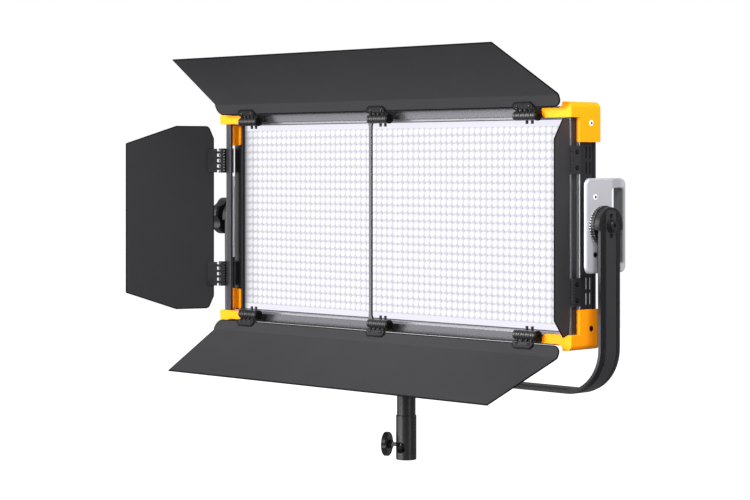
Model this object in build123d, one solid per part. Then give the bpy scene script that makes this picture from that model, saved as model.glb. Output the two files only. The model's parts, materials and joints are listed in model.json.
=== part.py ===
from build123d import *
import math
import os

# LED panel light with four barn doors, held in a U-shaped yoke on a stand receiver. Millimetres.
# Pieces are drawn about the centre of the tilt axis: X across the panel, -Y out of the lit face, Z up.
# They are saved with the mouth of the stand socket as the origin, PIVOT_Z below the tilt axis.

PIVOT_Z = 326.0

# Main frame of the head
FRAME_HALF_W = 327.0
FRAME_HALF_H = 150.0
FRAME_FRONT = -24.5
FRAME_BACK = 5.5
WINDOW_HALF_W = 309.0
WINDOW_HALF_H = 133.5
FRAME_WALL = 2.5
VENT_Y = (-13.5, -6.0)
VENT_Z = (72.5, 91.5)
VENT_WIDTH = 2.6
VENT_LENGTH = 15.0

# Barn-door frame in front of the main frame
RAIL_FRONT = -42.5
RAIL_BACK = -27.5
RAIL_HALF_W = 326.5
RAIL_HALF_H = 149.5
RAIL_WIDTH = 12.5
RAIL_LIP = 3.0
RAIL_STEP = 5.0
SIDE_RAIL_WIDTH = 10.0
SIDE_RAIL_BACK = -31.0
SIDE_RAIL_WALL = 2.5
CENTRE_BAR_X = -33.5
CENTRE_BAR_WIDTH = 5.0

# Corner guards
GUARD_HALF_W = 332.0
GUARD_HALF_H = 155.0
GUARD_FRONT = -48.5
GUARD_LEG_FRONT = -32.5
GUARD_BACK = 10.5
GUARD_ARM_INNER_X = 284.0
GUARD_ARM_LOW = 135.4
GUARD_ARM_HIGH = 147.4
GUARD_LEG_END = 104.7
GUARD_SCREW = (-9.9, 128.5)
GUARD_SCREW_R = 2.5

# Yoke
YOKE_HALF_W = 356.0
YOKE_THICK = 6.5
YOKE_HALF_DEPTH = 19.25
YOKE_BOTTOM = -213.0
YOKE_CORNER_R = 60.0
ARM_TOP_CENTRE = 1.0
GROOVE_INNER = 10.0
GROOVE_OUTER = 13.0
GROOVE_DEPTH = 1.5

# Tilt pivot
PIVOT_R = 5.0
RUNNING_GAP = 0.06
DISC_R = 25.0
DISC_OUT = 347.4
DISC_TEETH = 44
HUB_IN = 347.8
HUB_OUT = 355.8
HUB_R = 23.5
HUB_FLAT = -5.0
ARM_HOLE_OFFSET = 12.5
TILT_KNOB_R = 27.5

# End plates and their grip slots
PLATE_OUT = 341.0
PLATE_THICK = 4.0
PLATE_FRONT = -30.0
PLATE_BACK = 49.0
PLATE_HALF_H = 59.5
PLATE_CORNER_R = 9.0
SLOT_FRONT = 20.0
GRIP_FRONT = 41.0
SLOT_HALF_H = 47.5
BOSS_FRONT = -17.0
BOSS_HALF_H = 45.0
PLATE_SCREW = (-13.0, 36.0)

# Controller case on the back of the head
CASE_HALF_W = 305.0
CASE_HALF_H = 58.0
CASE_BACK = 43.5
CASE_WALL = 2.5
PANEL_HALF_W = 105.0
PANEL_HALF_H = 36.0
CONNECTOR_X = 139.0
BATTERY_X = 218.0
BATTERY_HALF_W = 42.0
BATTERY_HALF_H = 50.0
BATTERY_DEPTH = 9.0
BUTTON_X = (-30.0, -8.0, 14.0)
BUTTON_Z = -24.0
BUTTON_R = 5.0
DIAL_X = (-80.0, -52.0)
DIAL_R = 11.0
SWITCH_Z = 36.0

# Stand receiver
SLEEVE_R = 14.0
SLEEVE_HEIGHT = 61.0
NECK_R = 12.8
SOCKET_R = 8.2
SOCKET_DEPTH = 50.0
THUMB_YAW = 26.0
CROSS_HOLE_YAW = 8.0
CROSS_HOLE_R = 7.6
CROSS_HOLE_Z = 17.0
THUMB_Z = 20.0
THUMB_STUD_R = 3.0
THUMB_KNOB_R = 16.5

# Door hinges
HINGE_X = (-260.0, 2.3, 264.0)
LONG_AXIS = (-55.5, 138.0)
LONG_BARREL_R = 6.0
SIDE_AXIS = (330.0, -47.2)
SIDE_BARREL_R = 4.5
SIDE_HINGE_Z = (-82.5, 82.5)
KNUCKLE = 3.6
KNUCKLE_GAP = 0.4
KNUCKLE_COUNT = 9
PIN_R = 2.2
PIN_HEAD = 3.0
LEAF_THICK = 3.0
SIDE_LEAF_THICK = 2.5
SIDE_FOOT_BACK = -26.8
SIDE_SCREW_Y = -33.6
LEAF_NOTCH = 3.0

# Doors
SHEET = 1.5
FLANGE_START = 10.4
FLANGE_LENGTH = 17.5
FOLD_ANGLE = 35.0
FLAP_LENGTH = 115.0
FLANGE_BEHIND_AXIS = 1.3
LONG_DOOR_HALF_W = 325.0
LONG_DOOR_TIP_HALF_W = 302.0
LONG_DOOR_CORNER_R = 12.0
TOP_FLAP_REST = 31.5
BOTTOM_FLAP_REST = 26.0
SIDE_DOOR_START = 12.0
SIDE_DOOR_END = 145.0
SIDE_DOOR_HALF_H = 132.8
SIDE_DOOR_TIP_HALF_H = 107.2
SIDE_DOOR_SHOULDER = 69.5
LEFT_DOOR_REST = 68.0
RIGHT_DOOR_REST = 58.0


def block(x0, x1, y0, y1, z0, z1):
    """A box between two opposite corners."""
    centre = Pos((x0 + x1) / 2, (y0 + y1) / 2, (z0 + z1) / 2)
    return centre * Box(abs(x1 - x0), abs(y1 - y0), abs(z1 - z0))


def rod_x(radius, x0, x1, y, z):
    """A cylinder along X."""
    return Pos((x0 + x1) / 2, y, z) * Rot(0, 90, 0) * Cylinder(radius, abs(x1 - x0))


def rod_y(radius, y0, y1, x, z):
    """A cylinder along Y."""
    return Pos(x, (y0 + y1) / 2, z) * Rot(90, 0, 0) * Cylinder(radius, abs(y1 - y0))


def rod_z(radius, z0, z1, x, y):
    """A cylinder along Z."""
    return Pos(x, y, (z0 + z1) / 2) * Cylinder(radius, abs(z1 - z0))


def prism(points, direction, length):
    """A polygon of 3-D points, extruded along a direction."""
    return extrude(make_face(Polyline(*points, close=True)), amount=length, dir=direction)


def group(solids):
    """Several separate solids as one shape."""
    return Compound([solid for shape in solids for solid in shape.solids()])


def flip_x(shape):
    return mirror(shape, Plane.YZ)


def flip_z(shape):
    return mirror(shape, Plane.XY)


def four_corners(shape):
    """A shape of the upper right corner, with its copies in the other three corners."""
    return {
        "top_right": shape,
        "top_left": flip_x(shape),
        "bottom_right": flip_z(shape),
        "bottom_left": flip_z(flip_x(shape)),
    }


def save(name, shape):
    export_step(Pos(0, 0, PIVOT_Z) * shape, f"parts/{name}.step")


# ---- Yoke and what is fixed to it ----

def yoke_band(inset_out, inset_in, y0, y1):
    """The U outline between two insets from its outer face, from one depth to another."""
    def outline(inset):
        corner = YOKE_CORNER_R - inset
        width = 2 * (YOKE_HALF_W - inset)
        height = 2 * (-YOKE_BOTTOM - inset)
        return Plane.XZ * RectangleRounded(width, height, corner)

    band = extrude(outline(inset_out) - outline(inset_in), amount=y1 - y0, dir=(0, 1, 0))
    return Pos(0, y0, 0) * band


def arm_envelope(x0, x1):
    """The round-topped side view of an arm."""
    straight = block(x0, x1, -YOKE_HALF_DEPTH, YOKE_HALF_DEPTH, YOKE_BOTTOM, ARM_TOP_CENTRE)
    return straight + rod_x(YOKE_HALF_DEPTH, x0, x1, 0, ARM_TOP_CENTRE)


def make_yoke():
    body = yoke_band(0, YOKE_THICK, -YOKE_HALF_DEPTH, YOKE_HALF_DEPTH)
    body = body & arm_envelope(-YOKE_HALF_W - 1, YOKE_HALF_W + 1)
    for y0 in (-GROOVE_OUTER, GROOVE_INNER):
        y1 = y0 + GROOVE_OUTER - GROOVE_INNER
        body -= yoke_band(-1, GROOVE_DEPTH, y0, y1)
        body -= yoke_band(YOKE_THICK - GROOVE_DEPTH, YOKE_THICK + 1, y0, y1)
    body -= rod_x(PIVOT_R + RUNNING_GAP, -YOKE_HALF_W - 1, YOKE_HALF_W + 1, 0, 0)
    for side in (-1, 1):
        for z in (-ARM_HOLE_OFFSET, ARM_HOLE_OFFSET):
            face = side * YOKE_HALF_W
            body -= rod_x(2.1, face, face - side * 3, 0, z)
    return body - rod_z(PIVOT_R, YOKE_BOTTOM - 1, YOKE_BOTTOM + YOKE_THICK + 1, 0, 0)


def make_hub_cover():
    """Half-round cover behind the end of the right arm."""
    drum = rod_x(HUB_R, HUB_IN, HUB_OUT, 0, 0) & block(HUB_IN, HUB_OUT, -30, 30, HUB_FLAT, 30)
    arm = arm_envelope(YOKE_HALF_W - YOKE_THICK, HUB_OUT + 1)
    return drum - arm - rod_x(PIVOT_R + RUNNING_GAP, HUB_IN - 1, HUB_OUT, 0, 0)


def make_tilt_bolt():
    shank = rod_x(PIVOT_R, PLATE_OUT - 12, YOKE_HALF_W, 0, 0)
    washer = rod_x(8.6, YOKE_HALF_W, YOKE_HALF_W + 2, 0, 0)
    head = rod_x(6.8, YOKE_HALF_W, YOKE_HALF_W + 6, 0, 0)
    socket = Pos(YOKE_HALF_W + 3, 0, 0) * Rot(0, 90, 0) * extrude(RegularPolygon(2.9, 6), 4)
    return chamfer(head.edges().group_by(Axis.X)[-1], 0.8) + washer + shank - socket


def make_receiver():
    mouth = -PIVOT_Z
    shoulder = mouth + SLEEVE_HEIGHT
    sleeve = chamfer(rod_z(SLEEVE_R, mouth, shoulder, 0, 0).edges().filter_by(GeomType.CIRCLE), 0.8)
    body = sleeve + rod_z(NECK_R, shoulder, YOKE_BOTTOM, 0, 0)
    body -= rod_z(SOCKET_R, mouth - 1, mouth + SOCKET_DEPTH, 0, 0)
    cross = rod_y(CROSS_HOLE_R, -20, 20, 0, mouth + CROSS_HOLE_Z)
    thread = rod_x(THUMB_STUD_R + RUNNING_GAP, -20, 0, 0, mouth + THUMB_Z)
    bolt = rod_z(PIVOT_R, YOKE_BOTTOM - 25, YOKE_BOTTOM, 0, 0)
    return body - Rot(0, 0, CROSS_HOLE_YAW) * cross - Rot(0, 0, THUMB_YAW) * thread - bolt


def make_receiver_bolt():
    top = YOKE_BOTTOM + YOKE_THICK
    shank = rod_z(PIVOT_R, YOKE_BOTTOM - 24, top, 0, 0)
    washer = rod_z(11, top, top + 1.5, 0, 0)
    head = Pos(0, 0, top + 1.5) * extrude(RegularPolygon(8.5, 6), 6)
    return shank + washer + head


def thumb_place():
    """The thumbscrew's axis, with local X pointing out of the receiver."""
    return Pos(0, 0, -PIVOT_Z + THUMB_Z) * Rot(0, 0, 180 + THUMB_YAW)


def make_thumb_stud():
    return thumb_place() * rod_x(THUMB_STUD_R, SOCKET_R + 0.6, 28, 0, 0)


def make_thumb_knob():
    """A thick disc with six shallow finger dips round its rim."""
    knob = rod_x(THUMB_KNOB_R, 24, 31.5, 0, 0)
    knob = chamfer(knob.edges().filter_by(GeomType.CIRCLE), 1.2)
    for i in range(6):
        turn = math.radians(60 * i)
        reach = THUMB_KNOB_R + 9
        knob -= rod_x(10, 23, 34, reach * math.cos(turn), reach * math.sin(turn))
    boss = rod_x(6, 20, 24, 0, 0)
    return thumb_place() * (knob + boss - rod_x(THUMB_STUD_R, 19, 28, 0, 0))


def make_tilt_knob():
    """A five-lobed knob on the left arm, drawn about the X axis."""
    inner = -YOKE_HALF_W - 0.5
    outer = inner - 26
    knob = rod_x(TILT_KNOB_R, inner - 8, outer, 0, 0)
    knob = chamfer(knob.edges().filter_by(GeomType.CIRCLE), 2.5)
    for i in range(5):
        turn = math.radians(90 + 36 + 72 * i)
        reach = TILT_KNOB_R + 10
        knob -= rod_x(15, inner, outer - 1, reach * math.cos(turn), reach * math.sin(turn))
    boss = rod_x(11, inner, inner - 8, 0, 0)
    return knob + boss - rod_x(PIVOT_R, inner + 1, outer + 6, 0, 0)


def make_tilt_stud():
    return rod_x(PIVOT_R, -YOKE_HALF_W - 20, -PLATE_OUT + 12, 0, 0)


# ---- Head: frame, guards, light engine ----

def make_long_frame():
    """The upper extrusion, a hollow bar over the whole width."""
    bar = block(-FRAME_HALF_W, FRAME_HALF_W, FRAME_FRONT, FRAME_BACK, WINDOW_HALF_H, FRAME_HALF_H)
    w = FRAME_WALL
    hollow = block(-FRAME_HALF_W + w, FRAME_HALF_W - w, FRAME_FRONT + w, FRAME_BACK - w,
                   WINDOW_HALF_H + w, FRAME_HALF_H - w)
    groove = block(-FRAME_HALF_W - 1, FRAME_HALF_W + 1, -3.5, -1.0, FRAME_HALF_H - 1.2, FRAME_HALF_H + 1)
    return bar - hollow - groove


def make_side_frame():
    """The right extrusion, hollow, with two pairs of vent slots near each door hinge."""
    top = WINDOW_HALF_H
    bar = block(WINDOW_HALF_W, FRAME_HALF_W, FRAME_FRONT, FRAME_BACK, -top, top)
    w = FRAME_WALL
    bar -= block(WINDOW_HALF_W + w, FRAME_HALF_W - w, FRAME_FRONT + w, FRAME_BACK - w, -top + w, top - w)
    bar -= block(FRAME_HALF_W - 1.2, FRAME_HALF_W + 1, -1.5, 1.0, -top - 1, top + 1)
    for y in VENT_Y:
        for z in VENT_Z + tuple(-value for value in VENT_Z):
            bar -= block(FRAME_HALF_W - w - 1, FRAME_HALF_W + 1, y - VENT_WIDTH / 2, y + VENT_WIDTH / 2,
                         z - VENT_LENGTH / 2, z + VENT_LENGTH / 2)
    y, z = PLATE_SCREW
    for level in (-z, z):
        bar -= rod_x(2.0, FRAME_HALF_W - 5, FRAME_HALF_W + 1, y, level)
    return bar


def make_guard():
    """Upper right guard: an arm over the rail corner, a side leg and a tab in front of the main frame."""
    w, h = GUARD_HALF_W, GUARD_HALF_H
    inner_x = FRAME_HALF_W
    shell = block(GUARD_ARM_INNER_X, w, GUARD_LEG_FRONT, GUARD_BACK, GUARD_LEG_END, h)
    shell = fillet(shell.edges().filter_by(Axis.Y).sort_by(Axis.X).group_by(Axis.X)[-1].sort_by(Axis.Z)[-1], 8)
    shell = fillet(shell.edges().group_by(Axis.Y)[-1].sort_by(Axis.X)[-3:], 3)
    shell -= block(GUARD_ARM_INNER_X - 1, inner_x, GUARD_LEG_FRONT - 1, GUARD_BACK + 1, GUARD_LEG_END - 1,
                   FRAME_HALF_H)
    shell -= block(GUARD_ARM_INNER_X - 1, w - 20, GUARD_LEG_FRONT - 1, GUARD_BACK + 1, FRAME_HALF_H - 1, h + 1)
    arm = block(GUARD_ARM_INNER_X, w, GUARD_FRONT, RAIL_FRONT, GUARD_ARM_LOW, h)
    arm = fillet(arm.edges().filter_by(Axis.Y).group_by(Axis.X)[-1].sort_by(Axis.Z)[-1], 8)
    notch = block(GUARD_ARM_INNER_X - 1, w - 14.5, GUARD_FRONT - 1, RAIL_FRONT + 1, GUARD_ARM_HIGH, h + 1)
    arm -= fillet(notch.edges().filter_by(Axis.Y).group_by(Axis.X)[-1].sort_by(Axis.Z)[0], 7.2)
    arm = fillet(arm.edges().filter_by(Axis.Y).group_by(Axis.X)[0].sort_by(Axis.Z)[0], 6.5)
    bridge = block(w - 5, w, RAIL_FRONT, GUARD_LEG_FRONT, GUARD_ARM_LOW, h)
    bridge += block(w - 20, w, RAIL_FRONT, GUARD_LEG_FRONT, FRAME_HALF_H, h)
    corner = block(w - 40, w, RAIL_FRONT - 1, GUARD_LEG_FRONT + 1, h - 40, h)
    corner = fillet(corner.edges().filter_by(Axis.Y).group_by(Axis.X)[-1].sort_by(Axis.Z)[-1], 8)
    tab = block(312, inner_x, RAIL_BACK + 0.5, FRAME_FRONT, GUARD_LEG_END, WINDOW_HALF_H)
    tab = fillet(tab.edges().filter_by(Axis.Y).group_by(Axis.X)[0].sort_by(Axis.Z)[0], 3.5)
    body = shell + arm + (bridge & corner) + tab
    y, z = GUARD_SCREW
    return body - rod_x(GUARD_SCREW_R, inner_x - 1, w + 1, y, z)


def make_guard_screws():
    y, z = GUARD_SCREW
    screw = rod_x(GUARD_SCREW_R, FRAME_HALF_W, GUARD_HALF_W - 0.4, y, z)
    screw -= rod_x(1.2, GUARD_HALF_W - 2.4, GUARD_HALF_W, y, z)
    return group(four_corners(screw).values())


def make_lens_panel():
    """The right half of the lens sheet."""
    return block(0.3, WINDOW_HALF_W - 0.2, -23.5, -18.6, -WINDOW_HALF_H + 0.2, WINDOW_HALF_H - 0.2)


def make_led_board():
    return block(0.3, WINDOW_HALF_W - 0.2, -18.4, -16.8, -WINDOW_HALF_H + 0.2, WINDOW_HALF_H - 0.2)


def make_heat_sink():
    """A base plate with upright fins."""
    half_w, half_h = WINDOW_HALF_W - 1, WINDOW_HALF_H - 1
    sink = block(-half_w, half_w, -16.8, -13.8, -half_h, half_h)
    fin_pitch = 25.0
    for i in range(-11, 12):
        x = i * fin_pitch
        sink += block(x - 1, x + 1, -13.8, FRAME_BACK - 4, -half_h, half_h)
    return sink


def make_rear_cover():
    """The back sheet, with rows of vents above and below the controller case."""
    half_w, half_h = WINDOW_HALF_W - 0.2, WINDOW_HALF_H - 0.2
    cover = block(-half_w, half_w, FRAME_BACK - 3, FRAME_BACK, -half_h, half_h)
    slots = []
    for z in (82, 96, 110):
        for i in range(-7, 8):
            for level in (-z, z):
                slots.append(block(i * 37 - 14, i * 37 + 14, FRAME_BACK - 4, FRAME_BACK + 1, level - 2.2, level + 2.2))
    return cover - slots


# ---- Head: controller ----

def make_case():
    """Open-fronted case with windows for the control panel and the connectors."""
    w = CASE_WALL
    shell = block(-CASE_HALF_W, CASE_HALF_W, FRAME_BACK, CASE_BACK, -CASE_HALF_H, CASE_HALF_H)
    shell = fillet(shell.edges().group_by(Axis.Y)[-1], 4)
    shell -= block(-CASE_HALF_W + w, CASE_HALF_W - w, FRAME_BACK - 1, CASE_BACK - w,
                   -CASE_HALF_H + w, CASE_HALF_H - w)
    shell -= block(-PANEL_HALF_W, PANEL_HALF_W, CASE_BACK - 6, CASE_BACK + 1, -PANEL_HALF_H, PANEL_HALF_H)
    shell -= block(CONNECTOR_X - 25, CONNECTOR_X + 25, CASE_BACK - 6, CASE_BACK + 1, -22, 14)
    shell -= block(CONNECTOR_X - 14, CONNECTOR_X + 14, CASE_BACK - 6, CASE_BACK + 1, SWITCH_Z - 9, SWITCH_Z + 9)
    for z in (-22, 22):
        shell -= rod_y(11, CASE_BACK - 6, CASE_BACK + 1, -CONNECTOR_X, z)
    return shell


def make_control_panel():
    plate = block(-PANEL_HALF_W, PANEL_HALF_W, CASE_BACK - 2.5, CASE_BACK, -PANEL_HALF_H, PANEL_HALF_H)
    plate -= block(-34, 34, CASE_BACK - 3, CASE_BACK + 1, -10, 28)
    for x in BUTTON_X:
        plate -= rod_y(BUTTON_R + 0.3, CASE_BACK - 3, CASE_BACK + 1, x, BUTTON_Z)
    for x in DIAL_X:
        plate -= rod_y(3.06, CASE_BACK - 3, CASE_BACK + 1, x, 6)
    return plate


def make_display():
    return block(-34, 34, CASE_BACK - 5, CASE_BACK - 0.4, -10, 28)


def make_control_board():
    return block(-100, 100, CASE_BACK - 12, CASE_BACK - 10.4, -34, 34)


def make_power_supply():
    """Mains supply and LED driver, a closed block inside the case."""
    body = block(-290, -165, FRAME_BACK + 1, CASE_BACK - 12, -50, 50)
    return fillet(body.edges().filter_by(Axis.Y), 3)


def make_button(x):
    cap = rod_y(BUTTON_R, CASE_BACK - 7, CASE_BACK + 1.6, x, BUTTON_Z)
    return fillet(cap.edges().group_by(Axis.Y)[-1], 0.8)


def make_dial(x):
    """A knurled knob on its shaft."""
    knob = rod_y(DIAL_R, CASE_BACK + 0.6, CASE_BACK + 14, x, 6)
    knob = chamfer(knob.edges().group_by(Axis.Y)[-1], 1.2)
    for i in range(18):
        turn = math.radians(20 * i)
        knob -= rod_y(0.9, CASE_BACK, CASE_BACK + 15, x + DIAL_R * math.cos(turn), 6 + DIAL_R * math.sin(turn))
    return knob + rod_y(3.0, CASE_BACK - 9, CASE_BACK + 1, x, 6)


def make_switch():
    """A rocker whose shallow V top turns about X."""
    y = CASE_BACK
    side = [(y - 6, -6), (y - 6, 6), (y + 0.6, 8), (y + 0.2, 0), (y + 2.6, -8)]
    points = [(CONNECTOR_X - 12, py, SWITCH_Z + pz) for py, pz in side]
    return prism(points, (1, 0, 0), 24)


def make_power_inlet():
    """A recessed three-pin mains inlet."""
    y = CASE_BACK
    body = block(CONNECTOR_X - 25, CONNECTOR_X + 25, y - 18, y + 1, -22, 14)
    body -= block(CONNECTOR_X - 13, CONNECTOR_X + 13, y - 14, y + 2, -13, 5)
    for dx, z in ((-7, -6.5), (7, -6.5), (0, -1.5)):
        body += block(CONNECTOR_X + dx - 1, CONNECTOR_X + dx + 1, y - 14, y - 3, z - 2, z + 2)
    return body


def make_data_ports():
    """Two round sockets, one above the other."""
    ports = []
    for z in (-22, 22):
        port = rod_y(11, CASE_BACK - 16, CASE_BACK, -CONNECTOR_X, z)
        port += rod_y(13, CASE_BACK, CASE_BACK + 2, -CONNECTOR_X, z)
        ports.append(port - rod_y(8.5, CASE_BACK - 12, CASE_BACK + 3, -CONNECTOR_X, z))
    return group(ports)


def make_battery_plate(side):
    """A battery plate with its wedge-shaped slot open at the top, and a window for the release."""
    x, back = side * BATTERY_X, CASE_BACK + BATTERY_DEPTH
    w, h = BATTERY_HALF_W, BATTERY_HALF_H
    plate = block(x - w, x + w, CASE_BACK, back, -h, h)
    plate = fillet(plate.edges().filter_by(Axis.Y), 5)
    wedge = [(x - 13, -16), (x + 13, -16), (x + 19, h + 1), (x - 19, h + 1)]
    plate -= prism([(px, CASE_BACK + 3, pz) for px, pz in wedge], (0, 1, 0), BATTERY_DEPTH)
    return plate - block(x + 23, x + 35, CASE_BACK + 2, back + 1, -42, -18)


def make_battery_release(side):
    """The sliding release button in the plate's window."""
    x = side * BATTERY_X + 29
    key = block(x - 5.6, x + 5.6, CASE_BACK + 2.4, CASE_BACK + BATTERY_DEPTH + 2.5, -41.6, -24)
    return fillet(key.edges().filter_by(Axis.Y), 1.5)


def make_end_plate():
    """The right end plate: thin, on a boss, with a grip bar along the rear and a finger slot before it."""
    half, inner = PLATE_HALF_H, PLATE_OUT - PLATE_THICK
    plate = block(FRAME_HALF_W, PLATE_OUT, PLATE_FRONT, PLATE_BACK, -half, half)
    plate = fillet(plate.edges().filter_by(Axis.X), PLATE_CORNER_R)
    plate = fillet(plate.edges().group_by(Axis.X)[-1], 2.5)
    plate -= block(FRAME_HALF_W - 1, inner, PLATE_FRONT - 1, GRIP_FRONT, -half - 1, half + 1)
    plate += block(FRAME_HALF_W, inner, BOSS_FRONT, FRAME_BACK, -BOSS_HALF_H, BOSS_HALF_H)
    slot = block(FRAME_HALF_W - 1, PLATE_OUT + 1, SLOT_FRONT, GRIP_FRONT, -SLOT_HALF_H, SLOT_HALF_H)
    plate -= fillet(slot.edges().filter_by(Axis.X), 5)
    plate -= rod_x(PIVOT_R + RUNNING_GAP, PLATE_OUT - 13, PLATE_OUT + 1, 0, 0)
    y, z = PLATE_SCREW
    for level in (-z, z):
        plate -= rod_x(2.0, FRAME_HALF_W - 1, PLATE_OUT, y, level)
        plate -= rod_x(3.6, PLATE_OUT - 4, PLATE_OUT + 1, y, level)
    return plate


def make_plate_screws():
    y, z = PLATE_SCREW
    screw = rod_x(2.0, FRAME_HALF_W - 4, PLATE_OUT - 4, y, z) + rod_x(3.6, PLATE_OUT - 4, PLATE_OUT - 1, y, z)
    screw -= rod_x(1.4, PLATE_OUT - 3, PLATE_OUT, y, z)
    return group(four_corners(screw).values())


def make_tilt_disc():
    """The toothed disc that grips the hub cover on the right."""
    disc = rod_x(DISC_R, PLATE_OUT, DISC_OUT, 0, 0)
    notches = []
    for i in range(DISC_TEETH):
        turn = math.radians(360 / DISC_TEETH * i)
        notch = Rot(360 / DISC_TEETH * i, 0, 0) * Pos(0, 0, DISC_R) * Rot(45, 0, 0) * Box(20, 1.9, 1.9)
        notches.append(Pos((PLATE_OUT + DISC_OUT) / 2, 0, 0) * notch)
    return disc - notches - rod_x(PIVOT_R + RUNNING_GAP, PLATE_OUT - 1, DISC_OUT + 1, 0, 0)


# ---- Barn-door frame ----

def rail_section(outer):
    """Section of a rail with its outer face at a given distance: (depth, distance) points."""
    face = outer - RAIL_WIDTH
    return [
        (RAIL_FRONT, face), (RAIL_FRONT + RAIL_STEP, face), (RAIL_FRONT + RAIL_STEP, face - RAIL_LIP),
        (RAIL_BACK, face - RAIL_LIP), (RAIL_BACK, outer - 3), (RAIL_BACK - 3, outer - 3),
        (RAIL_BACK - 3, outer), (RAIL_FRONT + 3, outer), (RAIL_FRONT + 1.5, outer), (RAIL_FRONT, outer - 1.5),
    ]


def make_long_rail():
    section = rail_section(RAIL_HALF_H)
    return prism([(-RAIL_HALF_W, y, z) for y, z in section], (1, 0, 0), 2 * RAIL_HALF_W)


def make_side_rail():
    """The right rail, an angle section with a narrow front face and a side wall."""
    inner, wall = RAIL_HALF_W - SIDE_RAIL_WIDTH, RAIL_HALF_W - SIDE_RAIL_WALL
    front, step = RAIL_HALF_H - RAIL_WIDTH, RAIL_FRONT + RAIL_STEP
    flange = block(inner, RAIL_HALF_W, RAIL_FRONT, step, -front, front)
    rear = block(wall, RAIL_HALF_W, step, SIDE_RAIL_BACK, -front + RAIL_LIP, front - RAIL_LIP)
    corner = flange.edges().filter_by(Axis.Z).group_by(Axis.Y)[0].sort_by(Axis.X)[-1]
    return chamfer(corner, 1.2) + rear


def make_centre_bar():
    """An upright between the long rails, with flared ends."""
    half = RAIL_HALF_H - RAIL_WIDTH - RAIL_LIP
    thin, wide = CENTRE_BAR_WIDTH / 2, CENTRE_BAR_WIDTH / 2 + 2
    right = [(thin, -half + 5), (thin, half - 5), (wide, half)]
    left = [(-wide, half), (-thin, half - 5), (-thin, -half + 5)]
    points = [(wide, -half)] + right + left + [(-wide, -half)]
    y = RAIL_FRONT + RAIL_STEP + 1
    return prism([(CENTRE_BAR_X + x, y, z) for x, z in points], (0, 1, 0), 3)


# ---- Hinges ----

def knuckle_spans(centre, wanted):
    """Start and end of every second knuckle along a hinge: 0 for the fixed ones, 1 for the moving."""
    total = KNUCKLE_COUNT * KNUCKLE + (KNUCKLE_COUNT - 1) * KNUCKLE_GAP
    start = centre - total / 2
    step = KNUCKLE + KNUCKLE_GAP
    return [(start + i * step, start + i * step + KNUCKLE) for i in range(wanted, KNUCKLE_COUNT, 2)]


def hinge_span(centre):
    fixed = knuckle_spans(centre, 0)
    return fixed[0][0], fixed[-1][1]


def make_long_hinge_fixed(x):
    """Rail half of an upper hinge: every second knuckle, on a foot on the rail's front face."""
    y, z = LONG_AXIS
    low, high = hinge_span(x)
    foot = block(low, high, RAIL_FRONT - 3.2, RAIL_FRONT, RAIL_HALF_H - RAIL_WIDTH, RAIL_HALF_H - 1.5)
    body = fillet(foot.edges().filter_by(Axis.Y), 2)
    for x0, x1 in knuckle_spans(x, 0):
        body += rod_x(LONG_BARREL_R, x0, x1, y, z)
        body += block(x0, x1, y, RAIL_FRONT, z - 1, z + 4.5)
    return body - rod_x(PIN_R, low - 1, high + 1, y, z)


def make_side_hinge_fixed(z):
    """Rail half of a right-hand hinge: every second knuckle, on a foot on the rail's outer face."""
    x, y = SIDE_AXIS
    low, high = hinge_span(z)
    leaf = block(RAIL_HALF_W, RAIL_HALF_W + 2.5, RAIL_FRONT, SIDE_FOOT_BACK, low, high)
    for level in (-10, 10):
        leaf -= rod_x(2.2, RAIL_HALF_W - 1, RAIL_HALF_W + 3, SIDE_SCREW_Y, z + level)
    body = leaf
    for z0, z1 in knuckle_spans(z, 0):
        body += rod_z(SIDE_BARREL_R, z0, z1, x, y)
        body += block(RAIL_HALF_W, RAIL_HALF_W + 4.5, y, RAIL_FRONT + 0.5, z0, z1)
    return body - rod_z(PIN_R, low - 1, high + 1, x, y)


def make_hinge_pins():
    y, z = LONG_AXIS
    pins = []
    for x in HINGE_X:
        low, high = hinge_span(x)
        pin = rod_x(PIN_R, low, high, y, z) + rod_x(LONG_BARREL_R + 0.5, high, high + PIN_HEAD, y, z)
        socket = Pos(high + PIN_HEAD - 1.5, y, z) * Rot(0, 90, 0) * extrude(RegularPolygon(2.4, 6), 3)
        pins += [pin - socket, flip_z(pin - socket)]
    x, y = SIDE_AXIS
    for z in SIDE_HINGE_Z:
        low, high = hinge_span(z)
        pin = rod_z(PIN_R, low, high, x, y)
        pins += [pin, flip_x(pin)]
    return group(pins)


def make_rail_screws():
    """Screws through the side leaves, and screw ends under the long rails beside every hinge."""
    screws = []
    for z in SIDE_HINGE_Z:
        for level in (-10, 10):
            screw = rod_x(2.2, RAIL_HALF_W, RAIL_HALF_W + 3.2, SIDE_SCREW_Y, z + level)
            screws += [screw, flip_x(screw)]
    inner = RAIL_HALF_H - RAIL_WIDTH
    for x in HINGE_X:
        for offset in (-11.8, -2.8):
            screw = rod_z(1.9, inner - 9, inner, x + offset, RAIL_FRONT + 2.4)
            screws += [screw, flip_z(screw)]
    return group(screws)


# ---- Doors ----

def long_door_place(flap_angle):
    """Turns an upper door drawn with its flange along -Y and its inner face down to its rest position."""
    y, z = LONG_AXIS
    return Pos(0, y, z) * Rot(-(flap_angle + FOLD_ANGLE), 0, 0)


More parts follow.
